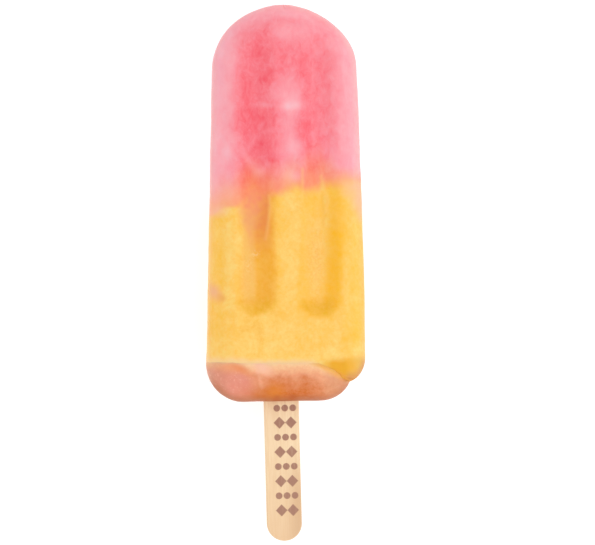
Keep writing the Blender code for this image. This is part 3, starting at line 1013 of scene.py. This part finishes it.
def ice_shader(tree, colour, roughness, height):
    shader = tree.nodes["Principled BSDF"]
    bump = node(tree, "ShaderNodeBump", {"Height": height, "Strength": 0.6, "Distance": 0.12 * MM})
    # Painted shade: the colour darkens a little where the surface turns edge-on to the view.
    facing = node(tree, "ShaderNodeLayerWeight", {"Blend": 0.5}).outputs["Facing"]
    edge_shaded = node(tree, "ShaderNodeMix", {0: 1.0, 6: colour, 7: EDGE_SHADE}, data_type="RGBA", blend_type="MULTIPLY")
    colour = blend(tree, stretch(tree, facing, 0.35, 0.9), colour, edge_shaded.outputs[2])
    feed(tree, shader.inputs["Base Color"], colour)
    feed(tree, shader.inputs["Roughness"], roughness)
    feed(tree, shader.inputs["Normal"], bump.outputs[0])
    shader.inputs["IOR"].default_value = 1.31
    shader.inputs["Specular IOR Level"].default_value = 0.3
    shader.inputs["Subsurface Weight"].default_value = 0.35
    shader.inputs["Subsurface Radius"].default_value = (1.0, 0.55, 0.4)
    shader.inputs["Subsurface Scale"].default_value = 1.6 * MM


def new_material(name):
    made = bpy.data.materials.new(name)
    made.use_nodes = True
    return made


def grain_of(tree, frost):
    """Places the shared grain group in a material."""
    made = node(tree, "ShaderNodeGroup", {}, node_tree=ICE_GRAIN)
    feed(tree, made.inputs["Frost"], frost)
    return made.outputs


def upper_ice_material():
    made = new_material("upper_ice")
    tree = made.node_tree
    frost = share_of(tree, "frost")
    grain = grain_of(tree, frost)
    clouds = stretch(tree, grain["Clouds"], 0, 1, 0.12, -0.12)
    wisps = stretch(tree, grain["Wisps"], 0, 1, 0.18, -0.18)
    calm = stretch(tree, share_of(tree, "pink_tone"), 0.0, 0.5, 0.6, 1.0)
    mottle = math_node(tree, "MULTIPLY", math_node(tree, "ADD", clouds, wisps), calm)
    tone = math_node(tree, "ADD", share_of(tree, "pink_tone"), mottle)
    deep = blend(tree, share_of(tree, "left_groove"), PINK_DEEP, PINK_DULL)
    pink = three_tones(tree, tone, PINK_PALE, PINK, deep)
    pink = blend(tree, share_of(tree, "pink_rim_shade"), pink, PINK_RIM_SHADE)
    pink = blend(tree, share_of(tree, "veil"), pink, blend(tree, tone, VEIL, VEIL_DEEP))

    blotches = stretch(tree, grain["Clouds"], 0, 1, 0.42, -0.42)
    mottle = math_node(tree, "ADD", blotches, stretch(tree, grain["Mottle"], 0, 1, 0.32, -0.32))
    mottle = math_node(tree, "MULTIPLY", mottle, stretch(tree, share_of(tree, "yellow_tone"), 0.0, 0.8, 1.0, 0.5))
    tone = math_node(tree, "ADD", share_of(tree, "yellow_tone"), mottle)
    # The deep yellow in the grooves: clear ice, with painted shade on their right walls and low ends.
    clear = blend(tree, share_of(tree, "left_groove"), YELLOW_DEEP, YELLOW_DULL)
    clear = blend(tree, share_of(tree, "low_end_shade"), clear, LOW_END_SHADE_YELLOW)
    yellow = three_tones(tree, tone, YELLOW_PALE, YELLOW, clear)
    frosty = math_node(tree, "MULTIPLY", frost, stretch(tree, grain["Mottle"], 0, 1, 0.4, 0.9))
    yellow = blend(tree, frosty, yellow, blend(tree, grain["Speckle"], YELLOW_FROST, YELLOW_FROST_PALE))
    yellow = blend(tree, share_of(tree, "floor"), yellow, FLOOR_YELLOW)
    yellow = blend(tree, share_of(tree, "cream"), yellow, CREAM)
    yellow = blend(tree, share_of(tree, "lip"), yellow, LIP_SHADE_YELLOW)
    yellow = blend(tree, share_of(tree, "corner"), yellow, CORNER_SHADE_YELLOW)
    yellow = blend(tree, share_of(tree, "corner_rim"), yellow, CORNER_RIM)
    yellow = blend(tree, share_of(tree, "lip_edge_shade"), yellow, LIP_EDGE_SHADE)
    yellow = blend(tree, share_of(tree, "smear"), yellow, SALMON)
    yellow = blend(tree, share_of(tree, "smear_core"), yellow, SALMON_DEEP)

    stain = blend(tree, share_of(tree, "stain_top"), STAIN_RED, STAIN_TOP)
    stain = blend(tree, share_of(tree, "stain_side"), stain, STAIN_ORANGE)
    yellow = blend(tree, share_of(tree, "stain"), yellow, stain)
    colour = blend(tree, share_of(tree, "pink"), yellow, pink)
    colour = blend(tree, share_of(tree, "margin"), colour, MARGIN_PEACH)
    # The pale melt lines: a slight ridge of melt whose paleness is a painted highlight along its edge.
    colour = blend(tree, math_node(tree, "MULTIPLY", share_of(tree, "melt"), 0.3), colour, MELT_HIGHLIGHT)
    colour = blend(tree, share_of(tree, "melt_shade"), colour, YELLOW_DULL)
    grains = math_node(tree, "MULTIPLY", share_of(tree, "grains"), stretch(tree, grain["Speckle"], 0.45, 0.8, 0.0, 0.4))
    colour = blend(tree, grains, colour, GRAIN_PALE)
    roughness = stretch(tree, frost, 0, 1, 0.42, 0.62)
    ice_shader(tree, colour, roughness, grain["Height"])
    return made


def last_layer_material():
    made = new_material("last_layer")
    tree = made.node_tree
    tone = share_of(tree, "peach_tone")
    rim = math_node(tree, "MULTIPLY", tone, -1.0)
    grain = grain_of(tree, stretch(tree, rim, 0, 1))
    tone = math_node(tree, "ADD", tone, stretch(tree, grain["Clouds"], 0, 1, 0.15, -0.15))
    tone = math_node(tree, "ADD", tone, stretch(tree, grain["Mottle"], 0, 1, 0.22, -0.22))
    colour = three_tones(tree, tone, PEACH_RIM_FROST_AND_HIGHLIGHT, PEACH, PEACH_DEEP)
    colour = blend(tree, share_of(tree, "rim_pink"), colour, PEACH_PINK)
    colour = blend(tree, math_node(tree, "MULTIPLY", share_of(tree, "amber"), 0.7), colour, AMBER_ORANGE)
    # Painted shade: the lobe darkens towards its left outline.
    lobe = blend(tree, share_of(tree, "lobe_side"), LOBE_LEFT_SHADE, PEACH_RED)
    spots = math_node(tree, "ADD", grain["Mottle"], grain["Clouds"])
    lobe = blend(tree, stretch(tree, spots, 0.6, 1.5, 0.0, 0.38), lobe, LOBE_PALE)
    specks = stretch(tree, grain["Speckle"], 0.8, 1.0, 0.0, 0.25)
    lobe = blend(tree, specks, lobe, LOBE_SPECK)
    colour = blend(tree, share_of(tree, "lobe"), colour, lobe)
    colour = blend(tree, math_node(tree, "MULTIPLY", share_of(tree, "lobe_top"), 0.7), colour, LOBE_WARM)
    colour = blend(tree, math_node(tree, "MULTIPLY", share_of(tree, "lobe_band"), 0.8), colour, PEACH_BAND)
    colour = blend(tree, share_of(tree, "lobe_line"), colour, LOBE_SPECK)
    colour = blend(tree, share_of(tree, "low_warm"), colour, PEACH_WARM)
    colour = blend(tree, share_of(tree, "right_end"), colour, PEACH_RIGHT_SHADE)
    colour = blend(tree, share_of(tree, "rim_amber"), colour, RIM_AMBER)
    colour = blend(tree, share_of(tree, "foot_shade_and_seam_line"), colour, PEACH_LOW)
    colour = blend(tree, share_of(tree, "dark"), colour, PEACH_DARK)
    ice_shader(tree, colour, stretch(tree, rim, 0, 1, 0.4, 0.6), grain["Height"])
    return made


# ---- the stick ----

STICK_WIDTH = 9.85 * MM
STICK_THICKNESS = 2.0 * MM
STICK_EDGE = 0.45 * MM
STICK_LEAN = math.radians(1.05)
STICK_SHOWN = ICE_END - STICK_LOW.y
STICK_OFFSET = -1.67 * MM
STICK_COLUMNS = 60
STICK_RINGS = 560
STICK_LENGTH = STICK_HIGH.y - STICK_LOW.y

# The marks on the stick
MARK_PITCH = 4.1 * MM
MARK_HALF_WIDTH = 3.25 * MM
MARK_MIDDLE = 0.9 * MM
MARK_COUNT = 8
MARK_LOWEST = 8.6 * MM
MARK_SUNK = 0.06 * MM
MARK_BLUR = 0.12 * MM


def lozenge(across, along, half_width, half_height):
    """The way in from a lozenge's outline, about in metres."""
    return (1 - abs(across) / half_width - abs(along) / half_height) * half_height * 0.7


def mark_share(x, low):
    """The row of marks: two lozenges side by side, and then three dots, in turn."""
    row = round((low - MARK_LOWEST) / MARK_PITCH)
    if not 0 <= row < MARK_COUNT:
        return 0.0
    along = low - MARK_LOWEST - row * MARK_PITCH
    across = x - MARK_MIDDLE
    if row % 2:
        inside = max(0.95 * MM - math.hypot(across - place * 2.25 * MM, along) for place in (-1, 0, 1))
    else:
        half = MARK_HALF_WIDTH / 2
        inside = max(lozenge(across - side * half, along, half, 1.7 * MM) for side in (-1, 1))
    return smooth(inside / MARK_BLUR + 0.5)


def stick_piece():
    """The whole stick with round ends and soft edges, drawn more finely where it shows."""
    bm = slab(STICK_COLUMNS, STICK_RINGS)
    radius = STICK_WIDTH / 2
    shown_rings = 0.8
    marks = []
    shaded = []
    for vert in bm.verts:
        share, front = vert.co.y, vert.co.z
        if share < shown_rings:
            low = mix(0.0, STICK_SHOWN + 2 * MM, share / shown_rings)
        else:
            low = mix(STICK_SHOWN + 2 * MM, STICK_LENGTH, (share - shown_rings) / (1 - shown_rings))
        short = max(radius - low, radius - (STICK_LENGTH - low), 0.0)
        wide = math.sqrt(max(radius * radius - short * short, 0.0))
        x = (2 * vert.co.x - 1) * wide
        edge = min(wide - abs(x), radius - math.hypot(x, short))
        half = STICK_THICKNESS / 2 - rounding(edge, STICK_EDGE)
        mark = mark_share(x, low) * max(front, 0.0)
        z = front * half - MARK_SUNK * mark
        marks.append(mark)
        shaded.append(smooth_between((-0.5, 4.2), x / MM) * smooth_between((28.0, 10.0), low / MM))
        vert.co = (x, low - STICK_SHOWN, z)
    bmesh.ops.recalc_face_normals(bm, faces=bm.faces)
    bmesh.ops.transform(bm, matrix=stick_place(), verts=bm.verts)
    made = finish_piece(bm, "wooden_stick", stick_material(), [("mark", marks), ("shaded", shaded)])
    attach(made, "root")
    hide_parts("stick")
    return made


def stick_place():
    """Where the stick meets the ice's end and how it turns."""
    lean = Matrix.Rotation(STICK_LEAN, 4, "Z")
    tilt = Matrix.Rotation(-DRAFT, 4, "X")
    return Matrix.Translation((AXIS + STICK_OFFSET, ICE_END, half_depth(0.0))) @ lean @ tilt


def stick_material():
    made = new_material("stick_wood")
    tree = made.node_tree
    turned = node(tree, "ShaderNodeMapping", {"Vector": object_place(tree), "Rotation": (0.0, 0.0, -STICK_LEAN)})
    along_grain = node(tree, "ShaderNodeMapping", {"Vector": turned.outputs[0], "Scale": (1.0, 0.06, 1.0)})
    fibres = noise_value(tree, along_grain.outputs[0], 2600.0, 4.0, 0.6, 0.2)
    figure = noise_value(tree, along_grain.outputs[0], 420.0, 2.0, 0.5, 0.8)
    tone = math_node(tree, "ADD", math_node(tree, "MULTIPLY", fibres, 0.5), math_node(tree, "MULTIPLY", figure, 0.5))
    height_y = node(tree, "ShaderNodeSeparateXYZ", {0: object_place(tree)}).outputs["Y"]
    # The wood is lighter next to the ice, as painted light against the shade the ice end casts on it, and darker
    # towards its low end.
    wood = blend(tree, stretch(tree, height_y, ICE_END, STICK_LOW.y), WOOD, WOOD_LOW)
    wood = blend(tree, share_of(tree, "shaded"), wood, WOOD_SHADED)
    wood = blend(tree, stretch(tree, tone, 0.42, 0.7, 0.0, 0.5), wood, WOOD_DARK)
    mark = share_of(tree, "mark")
    worn = math_node(tree, "MULTIPLY", mark, stretch(tree, fibres, 0.3, 0.5, 0.85, 1.0))
    colour = blend(tree, worn, wood, MARK)
    shader = tree.nodes["Principled BSDF"]
    bump = node(tree, "ShaderNodeBump", {"Height": fibres, "Strength": 0.5, "Distance": 0.05 * MM})
    feed(tree, shader.inputs["Base Color"], colour)
    feed(tree, shader.inputs["Roughness"], stretch(tree, fibres, 0, 1, 0.55, 0.75))
    feed(tree, shader.inputs["Normal"], bump.outputs[0])
    return made


# ---- the floor, the lights and the camera ----

VIEW_WIDTH = 167.6 * MM
VIEW_DISTANCE = 0.8
VIEW_TURN = math.radians(4.8)
VIEW_ROLL = math.radians(0.35)
VIEW_AIM = Vector((AXIS + 3.2 * MM, -0.05 * MM, 0.012))
SENSOR = 36.0


def floor():
    bm = bmesh.new()
    bmesh.ops.create_grid(bm, x_segments=1, y_segments=1, size=3.0)
    made = new_material("floor")
    shader = made.node_tree.nodes["Principled BSDF"]
    shader.inputs["Base Color"].default_value = (0.5, 0.5, 0.5, 1.0)
    shader.inputs["Roughness"].default_value = 0.9
    shader.inputs["Specular IOR Level"].default_value = 0.0
    shader.inputs["Emission Color"].default_value = (1.0, 1.0, 1.0, 1.0)
    shader.inputs["Emission Strength"].default_value = 0.7
    finish_piece(bm, "floor", made)


def lights():
    world = bpy.data.worlds.new("studio")
    world.use_nodes = True
    world.node_tree.nodes["Background"].inputs["Color"].default_value = (1.0, 1.0, 1.0, 1.0)
    world.node_tree.nodes["Background"].inputs["Strength"].default_value = 0.9
    bpy.context.scene.world = world
    panel = bpy.data.lights.new("softbox", "AREA")
    panel.shape = "RECTANGLE"
    panel.size = 0.5
    panel.size_y = 0.7
    panel.energy = 1.25
    softbox = bpy.data.objects.new("softbox", panel)
    place = Vector((0.42, -0.2, 0.65))
    softbox.matrix_world = Matrix.Translation(place) @ place.to_track_quat("Z", "Y").to_matrix().to_4x4()
    bpy.context.scene.collection.objects.link(softbox)


def camera():
    made = bpy.data.cameras.new("camera")
    made.sensor_width = SENSOR
    made.lens = SENSOR * VIEW_DISTANCE / VIEW_WIDTH
    eye = bpy.data.objects.new("camera", made)
    turn = Matrix.Rotation(-VIEW_TURN, 4, "Y") @ Matrix.Rotation(-VIEW_ROLL, 4, "Z")
    back = turn @ Vector((0.0, 0.0, VIEW_DISTANCE))
    eye.matrix_world = Matrix.Translation(VIEW_AIM + back) @ turn
    bpy.context.scene.collection.objects.link(eye)
    bpy.context.scene.camera = eye


ICE_GRAIN = ice_grain_group()
upper_ice()
last_layer()
stick_piece()
floor()
lights()
camera()
bpy.context.scene.view_settings.view_transform = "Standard"
